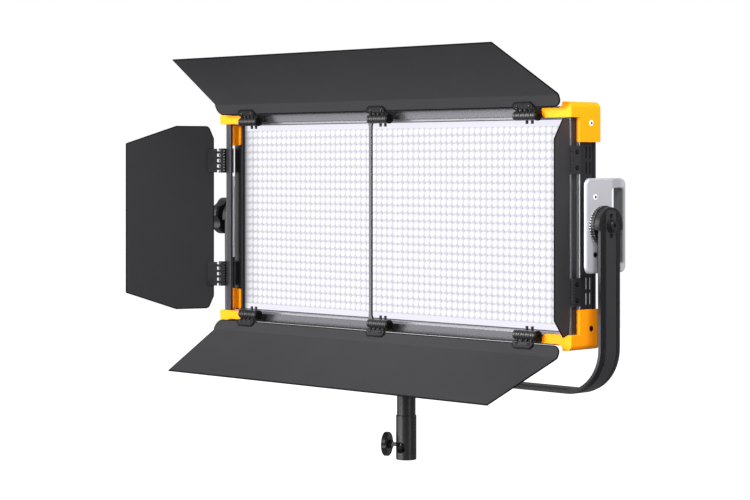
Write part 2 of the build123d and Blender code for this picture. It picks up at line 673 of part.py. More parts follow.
def make_long_sheet(flap_angle):
    """A sheet folded once: a narrow flange at the hinges and a wide flap that narrows outwards."""
    fold = math.radians(FOLD_ANGLE)
    start, end = -FLANGE_START, -FLANGE_START - FLANGE_LENGTH
    inner, outer = FLANGE_BEHIND_AXIS, FLANGE_BEHIND_AXIS + SHEET
    tip_y, tip_z = end - FLAP_LENGTH * math.cos(fold), inner - FLAP_LENGTH * math.sin(fold)
    mitre = SHEET * math.tan(fold / 2)
    section = [
        (start, inner), (end, inner), (tip_y, tip_z),
        (tip_y - SHEET * math.sin(fold), tip_z + SHEET * math.cos(fold)), (end - mitre, outer), (start, outer),
    ]
    half = LONG_DOOR_HALF_W
    sheet = prism([(-half, y, z) for y, z in section], (1, 0, 0), 2 * half)
    corners = sheet.edges().filter_by(Axis.Z).sort_by(Axis.Y)[-2:]
    sheet = fillet(corners, LONG_DOOR_CORNER_R)
    taper = [(half - 0.5, end + 1), (LONG_DOOR_TIP_HALF_W, tip_y), (LONG_DOOR_TIP_HALF_W, tip_y - 5),
             (half + 5, tip_y - 5), (half + 5, end + 1)]
    wedge = prism([(x, y, tip_z - 10) for x, y in taper], (0, 0, 1), 100)
    return long_door_place(flap_angle) * (sheet - wedge - flip_x(wedge))


def make_long_leaves(flap_angle):
    """Door halves of the three upper hinges: the other knuckles, on a tapered leaf with notches."""
    top, low_face = FLANGE_BEHIND_AXIS, FLANGE_BEHIND_AXIS - LEAF_THICK
    reach = -FLANGE_START - 8.6
    leaves = []
    for x in HINGE_X:
        low, high = hinge_span(x)
        leaf = block(low + 1, high - 1, reach, -LONG_BARREL_R - 1, low_face, top)
        leaf = chamfer(leaf.edges().filter_by(Axis.Z).group_by(Axis.Y)[0], 4)
        for x0, x1 in knuckle_spans(x, 1):
            leaf += rod_x(LONG_BARREL_R, x0, x1, 0, 0)
            leaf += block(x0, x1, -LONG_BARREL_R - 2, 0, low_face, top)
        for x0, x1 in knuckle_spans(x, 0):
            root = -LONG_BARREL_R - 0.4
            leaf -= block(x0 - 0.4, x1 + 0.4, root - LEAF_NOTCH, root, low_face - 1, top + 1)
        leaves.append(leaf - rod_x(PIN_R + RUNNING_GAP, low, high, 0, 0))
    return long_door_place(flap_angle) * group(leaves)


def side_door_place(rest_angle):
    """The right door's plane: local X along the door from the hinge axis, local Y into the light."""
    x, y = SIDE_AXIS
    return Pos(x, y, 0) * Rot(0, 0, -rest_angle)


def make_side_sheet(rest_angle):
    """A flat sheet with clipped hinge corners and tapered outer corners."""
    start, end = SIDE_DOOR_START, SIDE_DOOR_END
    half, tip = SIDE_DOOR_HALF_H, SIDE_DOOR_TIP_HALF_H
    upper = [(start, half - 18), (start + 8, half), (SIDE_DOOR_SHOULDER, half), (end, tip)]
    points = upper + [(s, -z) for s, z in reversed(upper)]
    sheet = prism([(s, -SHEET / 2, z) for s, z in points], (0, 1, 0), SHEET)
    hinge_corners = [e for e in sheet.edges().filter_by(Axis.Y) if e.center().X < start + 9]
    sheet = fillet(hinge_corners, 7)
    tips = [e for e in sheet.edges().filter_by(Axis.Y) if e.center().X > end - 1]
    return side_door_place(rest_angle) * fillet(tips, 2)


def make_side_leaves(rest_angle):
    """Door halves of the two right-hand hinges, with notches between their knuckles."""
    leaves = []
    for z in SIDE_HINGE_Z:
        low, high = hinge_span(z)
        front, back = -SHEET / 2 - SIDE_LEAF_THICK, -SHEET / 2
        leaf = block(SIDE_BARREL_R + 0.6, 23, front, back, low + 0.5, high - 0.5)
        leaf = fillet(leaf.edges().filter_by(Axis.Y).group_by(Axis.X)[-1], 2)
        for z0, z1 in knuckle_spans(z, 1):
            leaf += rod_z(SIDE_BARREL_R, z0, z1, 0, 0)
            leaf += block(0, 8, front, back, z0, z1)
        for z0, z1 in knuckle_spans(z, 0):
            root = SIDE_BARREL_R + 0.5
            leaf -= block(root, root + LEAF_NOTCH, front - 1, back + 1, z0 - 0.4, z1 + 0.4)
        leaves.append(leaf - rod_z(PIN_R + RUNNING_GAP, low, high, 0, 0))
    return side_door_place(rest_angle) * group(leaves)


def build_yoke_side():
    cover = make_hub_cover()
    save("yoke", make_yoke())
    save("hub_covers", group([cover, flip_x(cover)]))
    save("tilt_bolt", make_tilt_bolt())
    save("stand_receiver", make_receiver())
    save("receiver_bolt", make_receiver_bolt())
    save("thumbscrew_stud", make_thumb_stud())
    save("thumbscrew_knob", make_thumb_knob())
    save("tilt_knob", make_tilt_knob())
    save("tilt_stud", make_tilt_stud())


def build_head():
    long_frame = make_long_frame()
    side_frame = make_side_frame()
    save("frame_top", long_frame)
    save("frame_bottom", flip_z(long_frame))
    save("frame_right", side_frame)
    save("frame_left", flip_x(side_frame))
    for corner, guard in four_corners(make_guard()).items():
        save("guard_" + corner, guard)
    save("guard_screws", make_guard_screws())
    lens, board = make_lens_panel(), make_led_board()
    save("lens_panel_right", lens)
    save("lens_panel_left", flip_x(lens))
    save("led_board_right", board)
    save("led_board_left", flip_x(board))
    save("heat_sink", make_heat_sink())
    save("rear_cover", make_rear_cover())
    plate = make_end_plate()
    save("end_plate_right", plate)
    save("end_plate_left", flip_x(plate))
    save("plate_screws", make_plate_screws())
    disc = make_tilt_disc()
    save("tilt_discs", group([disc, flip_x(disc)]))


def build_controller():
    save("controller_case", make_case())
    save("control_panel", make_control_panel())
    save("display", make_display())
    save("control_board", make_control_board())
    save("power_supply", make_power_supply())
    save("power_inlet", make_power_inlet())
    save("power_switch", make_switch())
    save("data_ports", make_data_ports())
    save("battery_plates", group([make_battery_plate(-1), make_battery_plate(1)]))
    save("battery_release_left", make_battery_release(-1))
    save("battery_release_right", make_battery_release(1))
    for name, x in zip(("menu", "mode", "back"), BUTTON_X):
        save("button_" + name, make_button(x))
    for name, x in zip(("dimmer", "colour"), DIAL_X):
        save("dial_" + name, make_dial(x))


def build_door_frame():
    long_rail, side_rail = make_long_rail(), make_side_rail()
    save("rail_top", long_rail)
    save("rail_bottom", flip_z(long_rail))
    save("rail_right", side_rail)
    save("rail_left", flip_x(side_rail))
    save("centre_bar", make_centre_bar())
    fixed = []
    for x in HINGE_X:
        half = make_long_hinge_fixed(x)
        fixed += [half, flip_z(half)]
    for z in SIDE_HINGE_Z:
        half = make_side_hinge_fixed(z)
        fixed += [half, flip_x(half)]
    save("rail_hinges", group(fixed))
    save("hinge_pins", make_hinge_pins())
    save("rail_screws", make_rail_screws())


def build_doors():
    save("top_door", make_long_sheet(TOP_FLAP_REST))
    save("top_door_hinges", make_long_leaves(TOP_FLAP_REST))
    save("bottom_door", flip_z(make_long_sheet(BOTTOM_FLAP_REST)))
    save("bottom_door_hinges", flip_z(make_long_leaves(BOTTOM_FLAP_REST)))
    save("right_door", make_side_sheet(RIGHT_DOOR_REST))
    save("right_door_hinges", make_side_leaves(RIGHT_DOOR_REST))
    save("left_door", flip_x(make_side_sheet(LEFT_DOOR_REST)))
    save("left_door_hinges", flip_x(make_side_leaves(LEFT_DOOR_REST)))


os.makedirs("parts", exist_ok=True)
build_yoke_side()
build_head()
build_controller()
build_door_frame()
build_doors()
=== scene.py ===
import json
import math

import bmesh
import bpy
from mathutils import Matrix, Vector


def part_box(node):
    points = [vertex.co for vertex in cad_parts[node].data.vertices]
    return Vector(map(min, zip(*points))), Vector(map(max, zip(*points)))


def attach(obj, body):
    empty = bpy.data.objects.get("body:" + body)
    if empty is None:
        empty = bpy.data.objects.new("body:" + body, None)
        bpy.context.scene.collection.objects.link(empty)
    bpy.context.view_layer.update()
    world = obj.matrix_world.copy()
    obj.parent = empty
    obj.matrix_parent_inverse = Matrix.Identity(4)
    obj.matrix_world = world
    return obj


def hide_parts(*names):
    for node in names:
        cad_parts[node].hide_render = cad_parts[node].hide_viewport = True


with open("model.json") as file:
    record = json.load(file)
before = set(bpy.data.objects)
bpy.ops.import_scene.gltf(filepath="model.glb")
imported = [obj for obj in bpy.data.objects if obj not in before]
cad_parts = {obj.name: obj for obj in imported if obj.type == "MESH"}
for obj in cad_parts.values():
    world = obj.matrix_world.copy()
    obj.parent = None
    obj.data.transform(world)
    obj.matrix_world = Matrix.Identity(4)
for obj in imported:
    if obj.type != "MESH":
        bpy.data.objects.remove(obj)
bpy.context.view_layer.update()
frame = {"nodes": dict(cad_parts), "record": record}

MM = 0.001
NODES = frame["nodes"]
BODY_OF = {node: body for body, nodes in frame["record"]["behaviour"]["bodies"].items() for node in nodes}
SLOT_OF = {part["node"]: part["material_slot"] for part in frame["record"]["subparts"]}

# Sizes shared by several pieces
PIVOT_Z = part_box("yoke")[0].z + 213 * MM
GRIP_FRONT = 41 * MM
GRIP_ROUND = 4.6 * MM
LIP_Y = -39 * MM
DISC_LAND = 24.6 * MM
DISC_R = 25.1 * MM
COLLAR_EDGE = 24 * MM
COLLAR_BORE = 7.0 * MM
COLLAR_DEPTH = 4.3 * MM
ARM_HOLE_OFFSET = 12.5 * MM
ARM_HOLE_R = 2.1 * MM
ARM_SEAT_R = 3.0 * MM
THREAD_START = 8.2 * MM
THREAD_END = 25 * MM
THREAD_STEP = 0.55 * MM
THREAD_CREST = 2.94 * MM
THREAD_ROOT = 2.5 * MM
# Place of the painted highlight strips and of the bright vent louvres.
HIGHLIGHT_STRIP_X = (324.7 * MM, 326.0 * MM)
LOUVRE_X = (325.4 * MM, 326.4 * MM)
LOUVRE_Y = (-13.5 * MM, -6.0 * MM)
LOUVRE_DROP = (72.5 * MM, 91.5 * MM)
LOUVRE_HALF_W = 1.0 * MM
LOUVRE_HALF_H = 7.2 * MM
SIDE_HINGE_X = 328 * MM
BATTERY_X = 218 * MM


# ---------------------------------------------------------------- materials

def srgb(r, g, b):
    """Scene-linear colour of an 8-bit display colour."""
    def linear(value):
        value /= 255
        return value / 12.92 if value <= 0.04045 else ((value + 0.055) / 1.055) ** 2.4
    return (linear(r), linear(g), linear(b), 1)


class Shader:
    """A Principled material with short calls for its nodes."""

    def __init__(self, name):
        self.material = bpy.data.materials.new(name)
        self.material.use_nodes = True
        self.tree = self.material.node_tree
        self.bsdf = self.tree.nodes["Principled BSDF"]
        self.place = self.node("ShaderNodeTexCoord").outputs["Object"]

    def node(self, kind, **settings):
        made = self.tree.nodes.new(kind)
        for key, value in settings.items():
            setattr(made, key, value)
        return made

    def link(self, source, target):
        self.tree.links.new(source, target)

    def set(self, **values):
        for key, value in values.items():
            self.bsdf.inputs[key.replace("_", " ")].default_value = value
        return self

    def noise(self, scale, detail=3.0, stretch=None):
        texture = self.node("ShaderNodeTexNoise")
        texture.inputs["Scale"].default_value = scale
        texture.inputs["Detail"].default_value = detail
        place = self.place
        if stretch:
            mapping = self.node("ShaderNodeMapping")
            mapping.inputs["Scale"].default_value = stretch
            self.link(place, mapping.inputs["Vector"])
            place = mapping.outputs["Vector"]
        self.link(place, texture.inputs["Vector"])
        return texture.outputs["Fac"]

    def spread(self, source, low, high, start=0.3, end=0.7):
        """A value that runs from low to high as the source runs from start to end."""
        remap = self.node("ShaderNodeMapRange")
        for key, value in (("From Min", start), ("From Max", end), ("To Min", low), ("To Max", high)):
            remap.inputs[key].default_value = value
        self.link(source, remap.inputs["Value"])
        return remap.outputs["Result"]

    def mix(self, factor, first, second):
        """A colour between two, either of which may be a socket."""
        blend = self.node("ShaderNodeMix", data_type="RGBA")
        self.link(factor, blend.inputs["Factor"])
        for value, key in ((first, "A"), (second, "B")):
            socket = [s for s in blend.inputs if s.name == key and s.type == "RGBA"][0]
            if hasattr(value, "is_output"):
                self.link(value, socket)
            else:
                socket.default_value = value
        return [s for s in blend.outputs if s.type == "RGBA"][0]

    def math(self, operation, first, second=0.0):
        node = self.node("ShaderNodeMath", operation=operation)
        for value, socket in ((first, node.inputs[0]), (second, node.inputs[1])):
            if hasattr(value, "is_output"):
                self.link(value, socket)
            else:
                socket.default_value = value
        return node.outputs[0]

    def bump(self, height, strength, distance):
        bump = self.node("ShaderNodeBump")
        bump.inputs["Strength"].default_value = strength
        bump.inputs["Distance"].default_value = distance
        self.link(height, bump.inputs["Height"])
        self.link(bump.outputs["Normal"], self.bsdf.inputs["Normal"])


def shade(colour, factor):
    return tuple(min(1.0, c * factor) for c in colour[:3]) + (1,)


def coated(name, colour, roughness, grain=1400, depth=0.00004, metallic=0.0, specular=0.5, cloud=18):
    """Painted or moulded surface: fine grain in the relief, faint clouds in colour and gloss."""
    s = Shader(name).set(Metallic=metallic, Specular_IOR_Level=specular)
    clouds = s.noise(cloud, 2)
    s.link(s.mix(clouds, shade(colour, 0.93), shade(colour, 1.07)), s.bsdf.inputs["Base Color"])
    s.link(s.spread(s.noise(grain / 3, 4), roughness - 0.05, roughness + 0.05), s.bsdf.inputs["Roughness"])
    s.bump(s.noise(grain, 2), 0.35, depth)
    return s.material


def brushed(name, colour, roughness, stretch, metallic=1.0):
    """Machined metal with fine lines across the stretched directions."""
    s = Shader(name).set(Metallic=metallic)
    lines = s.noise(60, 5, stretch)
    s.link(s.mix(lines, shade(colour, 0.85), shade(colour, 1.1)), s.bsdf.inputs["Base Color"])
    s.link(s.spread(lines, roughness - 0.06, roughness + 0.08), s.bsdf.inputs["Roughness"])
    s.bump(lines, 0.15, 0.00003)
    return s.material


PLATE_COLOUR = (0.42, 0.42, 0.45, 1)


def make_materials():
    m = {}
    m["door_black"] = coated("door_powder_coat", srgb(45, 45, 47), 0.7, 1600, 0.00004, specular=0.1)
    # Near-black painted shade for the doors' rims and edges; the sheet itself is one colour.
    m["door_edge_shade"] = coated("door_edge_painted_shade", srgb(5, 5, 6), 0.6, 1600, 0.00003, specular=0.1)
    m["yoke_black"] = coated("yoke_powder_coat", srgb(40, 40, 42), 0.45, 1500, 0.00003, specular=0.4)
    # Darker colour on the yoke's rims is painted shade.
    m["yoke_rim_shade"] = coated("yoke_rim_painted_shade", srgb(20, 20, 22), 0.4, 1500, 0.00002, specular=0.25)
    # Lighter colour on the yoke's rounded edges is a painted highlight.
    m["yoke_edge_highlight"] = coated("yoke_edge_painted_highlight", srgb(60, 60, 64), 0.35, 1500, 0.00001, specular=0.5)
    # Lighter colour on the yoke's faces towards the front is painted light.
    m["yoke_side_lit"] = coated("yoke_side_painted_light", srgb(46, 46, 49), 0.38, 1500, 0.00002, specular=0.45)
    m["receiver_black"] = coated("receiver_coat", srgb(14, 14, 16), 0.36, 1500, 0.0000005, specular=0.6)
    m["rail_black"] = coated("rail_anodised", srgb(80, 80, 84), 0.28, 2600, 0.000002, 0.8, 0.5)
    m["side_rail"] = coated("side_rail_anodised", srgb(40, 40, 43), 0.34, 2600, 0.000002, 0.4, 0.4)
    # Lighter colour on the side rails' rounded edges is a painted highlight.
    m["rail_edge_highlight"] = coated("side_rail_edge_highlight", srgb(96, 96, 100), 0.3, 2600, 0.000002, 0.6, 0.5)
    # Lighter colour for the rails' inner step next to the lens.
    m["rail_lip"] = coated("rail_lip_lighter", srgb(120, 120, 124), 0.3, 2600, 0.00001, 0.7, 0.5)
    m["frame_black"] = coated("frame_anodised", srgb(36, 36, 39), 0.4, 2600, 0.00001, 0.4, 0.5)
    m["hinge_black"] = coated("hinge_paint", srgb(32, 32, 34), 0.32, 1200, 0.000002, specular=0.5)
    # Black oxide of the pins and screw heads; on the hinges' outlines and rounded edges the same near-black
    # is painted shade.
    m["pin_black_and_edge_shade"] = coated("pin_oxide_and_edge_shade", srgb(5, 5, 6), 0.5, 1200, 0.00001, specular=0.15)
    m["guard_amber"] = coated("amber_moulding", (0.97, 0.29, 0.003, 1), 0.5, 1100, 0.00001,
                              specular=0.12, cloud=8)
    m["plate_silver"] = make_plate_material()
    # Darker colour on the plates' rounded edges is painted shade.
    m["plate_edge_shade"] = coated("plate_edge_painted_shade", shade(PLATE_COLOUR, 0.62), 0.5, 900, 0.000004, 0.1, 0.3)
    # Bright colour for the frame-corner strips and vent louvres is a painted highlight and a painted
    # reflection.
    m["bright_trim"] = coated("painted_highlight_metal", (0.55, 0.55, 0.58, 1), 0.4, 900, 0.000004, 0.2)
    # Near-white painted highlight for the disc teeth and the upper screw heads, and painted light on the
    # plates' faces towards the head.
    m["highlight_white"] = coated("painted_highlight_white", (0.85, 0.85, 0.88, 1), 0.45, 900, 0.000004, 0.0)
    m["case_grey"] = coated("case_texture", srgb(44, 44, 46), 0.5, 1300, 0.00008)
    m["moulded_black"] = coated("black_moulding", srgb(20, 20, 22), 0.42, 1300, 0.00006, specular=0.4)
    m["knob_black"] = coated("knob_moulding", srgb(15, 15, 17), 0.42, 900, 0.000005, specular=0.4)
    m["button_grey"] = coated("button_rubber", srgb(88, 88, 92), 0.7, 900, 0.00005, specular=0.3)
    m["board_green"] = coated("solder_mask", srgb(14, 66, 40), 0.35, 500, 0.00003)
    m["supply_steel"] = coated("supply_case", srgb(110, 110, 112), 0.45, 800, 0.00003, 0.5)
    m["led_white"] = coated("white_solder_mask", srgb(200, 200, 204), 0.5, 400, 0.00002)
    m["heat_sink_alloy"] = brushed("extruded_alloy", (0.4, 0.4, 0.42, 1), 0.4, (40, 40, 1))
    m["port_steel"] = brushed("port_shell", (0.3, 0.3, 0.32, 1), 0.32, (30, 1, 30))
    m["contact_brass"] = brushed("contact_brass", (0.75, 0.5, 0.18, 1), 0.25, (30, 1, 30))
    m["dark_screw"] = brushed("black_oxide", (0.035, 0.035, 0.04, 1), 0.35, (1, 30, 30), 0.7)
    # Near-black painted shade in screw sockets, hole seats and on the centre bar's right side.
    m["socket_black"] = coated("socket_shade", srgb(4, 4, 5), 0.7, 900, 0.00001, specular=0.1)
    m["bright_stud"] = brushed("bright_zinc", (0.8, 0.8, 0.82, 1), 0.2, (30, 1, 30))
    m["lens_white"] = make_lens_material()
    m["display_glass"] = make_display_material()
    m["mark_white"] = coated("printed_marks", srgb(190, 190, 194), 0.6, 700, 0.00001)
    m["display_lit"] = make_lit_marks()
    return m


def make_lens_material():
    """Lit lens moulding: white over every bead, lavender between them and greyer at the crossings, with
    painted shade on each dome's lower right side, over the outermost columns and on a dark border.
    """
    s = Shader("lit_lens").set(Roughness=0.6, Specular_IOR_Level=0.05, Emission_Strength=1.0)
    s.bsdf.inputs["Base Color"].default_value = (0.02, 0.02, 0.022, 1)
    split = s.node("ShaderNodeSeparateXYZ")
    s.link(s.place, split.inputs[0])
    across = s.math("ABSOLUTE", split.outputs["X"])
    u = s.math("DIVIDE", s.math("SUBTRACT", across, BEAD_FIRST), BEAD_PITCH_X)
    v = s.math("DIVIDE", s.math("SUBTRACT", split.outputs["Z"], BEAD_CENTRE_Z), BEAD_PITCH_Z)
    du = s.math("SUBTRACT", s.math("FRACT", s.math("ADD", u, 100.5)), 0.5)
    dv = s.math("SUBTRACT", s.math("FRACT", s.math("ADD", v, 100.0)), 0.5)
    far = s.math("SQRT", s.math("ADD", s.math("POWER", s.math("ABSOLUTE", du), 2.4),
                                s.math("POWER", s.math("ABSOLUTE", dv), 2.4)))
    ramp = s.node("ShaderNodeValToRGB")
    stops = ramp.color_ramp.elements
    stops[0].position, stops[0].color = 0.27, (1.02, 1.02, 1.03, 1)
    stops[1].position, stops[1].color = 0.63, srgb(190, 189, 200)
    for place, colour in ((0.35, srgb(240, 239, 248)), (0.435, srgb(218, 216, 229)),
                          (0.53, srgb(206, 204, 217))):
        stops.new(place).color = colour
    s.link(far, ramp.inputs["Fac"])
    # Painted shade on the sides of each dome that face right and down.
    facing = s.node("ShaderNodeSeparateXYZ")
    s.link(s.node("ShaderNodeTexCoord").outputs["Normal"], facing.inputs[0])
    dome_shade_tilt = s.math("SUBTRACT", s.math("MULTIPLY", facing.outputs["X"], 0.6), facing.outputs["Z"])
    dome_shade = s.mix(s.spread(dome_shade_tilt, 0.0, 0.5, 0.25, 1.0), ramp.outputs["Color"], srgb(176, 175, 186))
    # Painted shade darkening the outermost bead columns towards the lens edge.
    edge = s.spread(across, 0.0, 1.0, BEAD_LAST - 0.02, LENS_HIGH.x)
    outer_shade = s.mix(s.math("MULTIPLY", edge, 0.6), dome_shade, srgb(150, 150, 156))
    # Dark painted shade over the border beyond the last column.
    border_shade = s.spread(across, 0.0, 1.0, BEAD_LAST + 0.006, LENS_HIGH.x)
    rows = s.spread(s.math("ABSOLUTE", s.math("SUBTRACT", split.outputs["Z"], BEAD_CENTRE_Z)), 0.0, 1.0,
                    0.1248, 0.1262)
    field = s.mix(rows, outer_shade, srgb(238, 236, 247))
    s.link(s.mix(border_shade, field, srgb(66, 66, 70)), s.bsdf.inputs["Emission Color"])
    return s.material


def make_plate_material():
    """Blasted aluminium with painted shade over the finger recess before the grip bar, and a deep painted
    shadow in the grip slot.
    """
    s = Shader("blasted_aluminium").set(Metallic=0.25, Specular_IOR_Level=0.35)
    split = s.node("ShaderNodeSeparateXYZ")
    s.link(s.place, split.inputs[0])
    # Painted shade over the finger recess.
    recess_shade = s.math("MULTIPLY", s.spread(split.outputs["Y"], 0.0, 1.0, 0.018, 0.024),
                    s.spread(split.outputs["Y"], 1.0, 0.0, 0.036, 0.041))
    level = s.math("ABSOLUTE", s.math("SUBTRACT", split.outputs["Z"], PIVOT_Z))
    # Painted shadow inside the grip slot, near the pivot height.
    depth = s.math("MULTIPLY", s.spread(split.outputs["Y"], 0.0, 1.0, 0.030, 0.036),
                   s.spread(split.outputs["Y"], 1.0, 0.0, 0.0405, 0.047))
    slot_shadow = s.math("MULTIPLY", depth, s.spread(level, 1.0, 0.0, 0.046, 0.049))
    clouds = s.mix(s.noise(18, 2), shade(PLATE_COLOUR, 0.95), shade(PLATE_COLOUR, 1.05))
    with_recess_shade = s.mix(recess_shade, clouds, shade(PLATE_COLOUR, 0.78))
    s.link(s.mix(slot_shadow, with_recess_shade, shade(PLATE_COLOUR, 0.22)), s.bsdf.inputs["Base Color"])
    s.link(s.spread(s.noise(700, 4), 0.37, 0.47), s.bsdf.inputs["Roughness"])
    s.bump(s.noise(2200, 2), 0.35, 0.00001)
    return s.material


def make_display_material():
    s = Shader("display_glass").set(Roughness=0.08, Emission_Strength=0.35)
    glass = s.mix(s.noise(30, 2), (0.004, 0.012, 0.03, 1), (0.008, 0.02, 0.045, 1))
    s.link(glass, s.bsdf.inputs["Base Color"])
    s.bsdf.inputs["Emission Color"].default_value = (0.01, 0.05, 0.12, 1)
    return s.material


def make_lit_marks():
    s = Shader("lit_segments").set(Roughness=0.4, Emission_Strength=1.6)
    glow = s.mix(s.noise(200, 2), (0.25, 0.65, 0.8, 1), (0.35, 0.8, 0.95, 1))
    s.link(glow, s.bsdf.inputs["Emission Color"])
    s.bsdf.inputs["Base Color"].default_value = (0.05, 0.1, 0.12, 1)
    return s.material


# ---------------------------------------------------------------- mesh helpers

def publish(mesh, name, body, slot, materials=None, smooth=35):
    """Puts a finished mesh in the scene on its body and slot."""
    for key in materials or [slot]:
        mesh.materials.append(MATERIALS[key])
    mesh.polygons.foreach_set("use_smooth", [True] * len(mesh.polygons))
    mesh.set_sharp_from_angle(angle=math.radians(smooth))
    piece = bpy.data.objects.new(name, mesh)
    bpy.context.scene.collection.objects.link(piece)
    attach(piece, body)
    return piece


def to_mesh(bm, name):
    bmesh.ops.recalc_face_normals(bm, faces=bm.faces)
    mesh = bpy.data.meshes.new(name)
    bm.to_mesh(mesh)
    bm.free()
    return mesh


def round_edges(bm, width, segments=2, angle=32, edge=-1):
    sharp = [e for e in bm.edges if e.is_manifold and e.calc_face_angle(0) > math.radians(angle)]
    bmesh.ops.bevel(bm, geom=sharp, offset=width, segments=segments, profile=0.6, affect="EDGES",
                    clamp_overlap=True, material=edge)


def refined(node, width=0.4 * MM, segments=2, angle=32, change=None, materials=None, edge=-1):
    """A rounded copy of a CAD node that stands in for it; rounded edges may have their own material."""
    bm = cad_copy(node)
    if change:
        change(bm)
    round_edges(bm, width, segments, angle, edge)
    piece = publish(to_mesh(bm, node), node + "_finished", BODY_OF[node], SLOT_OF[node], materials)
    normals = piece.modifiers.new("even_shading", "WEIGHTED_NORMAL")
    normals.keep_sharp = True
    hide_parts(node)
    return piece


def turned(bm, base, axis, profile, sides=24, paint=(), hollow=False):
    """Adds a turned shape with (distance along the axis, radius) rings; paint gives band materials.

    A hollow shape joins its last ring back to the first and so leaves a bore.
    """
    axis = Vector(axis).normalized()
    side = axis.orthogonal().normalized()
    up = axis.cross(side)
    rings = []
    for along, radius in profile:
        ring = []
        for i in range(sides):
            turn = 2 * math.pi * i / sides
            offset = side * math.cos(turn) + up * math.sin(turn)
            ring.append(bm.verts.new(Vector(base) + axis * along + offset * radius))
        rings.append(ring)
    faces = []
    for k, (lower, upper) in enumerate(zip(rings, rings[1:] + rings[:1] if hollow else rings[1:])):
        for i in range(sides):
            j = (i + 1) % sides
            face = bm.faces.new((lower[i], lower[j], upper[j], upper[i]))
            face.material_index = paint[k] if k < len(paint) else 0
            faces.append(face)
    if hollow:
        return faces
    faces.append(bm.faces.new(rings[0]))
    last = bm.faces.new(rings[-1])
    last.material_index = paint[-1] if paint else 0
    return faces + [last]


def screw_head(bm, place, axis, radius, height):
    """Adds a pan head with a round socket."""
    turned(bm, place, axis, [(0, radius), (0.55 * height, radius), (height, 0.78 * radius),
                             (height, 0.5 * radius), (0.45 * height, 0.46 * radius)], 20, (0, 0, 0, 1, 1))


# ---------------------------------------------------------------- lens panels

LENS_LOW, LENS_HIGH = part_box("lens_panel_right")
LENS_BASE_Y = LENS_LOW.y + 2.2 * MM
BEAD_HEIGHT = 2.2 * MM
BEAD_ROWS = 24
BEAD_COLUMNS = 29
BEAD_PITCH_X = 10.15 * MM
BEAD_PITCH_Z = 10.46 * MM
BEAD_FIRST = 9.7 * MM
BEAD_LAST = BEAD_FIRST + (BEAD_COLUMNS - 1) * BEAD_PITCH_X
BEAD_CENTRE_Z = (LENS_LOW.z + LENS_HIGH.z) / 2
BEAD_SIDES = 16


def bead_ring(share, rise):
    """One ring of a bead, a rounded square: offsets across, into the light and up."""
    ring = []
    for i in range(BEAD_SIDES):
        turn = 2 * math.pi * (i + 0.5) / BEAD_SIDES
        c, s = math.cos(turn), math.sin(turn)
        reach = 1 / (abs(c) ** 3.2 + abs(s) ** 3.2) ** (1 / 3.2)
        ring.append((0.44 * BEAD_PITCH_X * share * reach * c, -BEAD_HEIGHT * rise,
                     0.44 * BEAD_PITCH_Z * share * reach * s))
    return ring


BEAD = [bead_ring(*step) for step in ((1, 0), (0.97, 0.3), (0.86, 0.62), (0.64, 0.88), (0.3, 1))]


def add_bead(bm, x, z):
    rings = [[bm.verts.new((x + dx, LENS_BASE_Y + dy, z + dz)) for dx, dy, dz in ring] for ring in BEAD]
    for lower, upper in zip(rings, rings[1:]):
        for i in range(BEAD_SIDES):
            j = (i + 1) % BEAD_SIDES
            bm.faces.new((lower[i], lower[j], upper[j], upper[i]))
    bm.faces.new(rings[-1])


def box_into(bm, low, high):
    """Adds a box between two corners and returns its vertices."""
    low, high = Vector(low), Vector(high)
    verts = bmesh.ops.create_cube(bm, size=1)["verts"]
    bmesh.ops.scale(bm, vec=high - low, verts=verts)
    bmesh.ops.translate(bm, vec=(low + high) / 2, verts=verts)
    return verts


def lens_panel(side, name):
    low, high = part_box("lens_panel_" + name)
    bm = bmesh.new()
    box_into(bm, (low.x, LENS_BASE_Y, low.z), high)
    round_edges(bm, 0.4 * MM)
    for column in range(BEAD_COLUMNS):
        for row in range(BEAD_ROWS):
            add_bead(bm, side * (BEAD_FIRST + column * BEAD_PITCH_X),
                     BEAD_CENTRE_Z + (row - (BEAD_ROWS - 1) / 2) * BEAD_PITCH_Z)
    piece = publish(to_mesh(bm, name), "lens_" + name, "head", "lens_white", smooth=60)
    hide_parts("lens_panel_" + name)


# ---------------------------------------------------------------- doors

RIM = 1.6 * MM


def cad_copy(node):
    bm = bmesh.new()
    bm.from_mesh(NODES[node].data)
    bmesh.ops.remove_doubles(bm, verts=bm.verts, dist=1e-6)
    bmesh.ops.dissolve_limit(bm, angle_limit=math.radians(0.6), verts=bm.verts, edges=bm.edges)
    return bm


def door(node):
    """A folded or flat sheet with a near-black band of painted edge shade round both faces and on its edges.
    """
    bm = cad_copy(node)
    largest = max(f.calc_area() for f in bm.faces)
    faces = [f for f in bm.faces if f.calc_area() > 0.08 * largest]
    # Edge faces and the rim band take index 1, the painted edge shade.
    for f in bm.faces:
        f.material_index = 0 if f in faces else 1
    rim = bmesh.ops.inset_region(bm, faces=faces, thickness=RIM, use_even_offset=True,
                                 use_boundary=True)["faces"]
    for f in rim:
        f.material_index = 1
    round_edges(bm, 0.3 * MM, 1, 40)
    piece = publish(to_mesh(bm, node), node + "_sheet", BODY_OF[node], "door_black",
                    ["door_black", "door_edge_shade"], smooth=30)
    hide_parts(node)


# ---------------------------------------------------------------- metal parts with their own shaping

RIM_SLOPE = 1.3 * MM
RIM_SHADE_START = 11.5 * MM


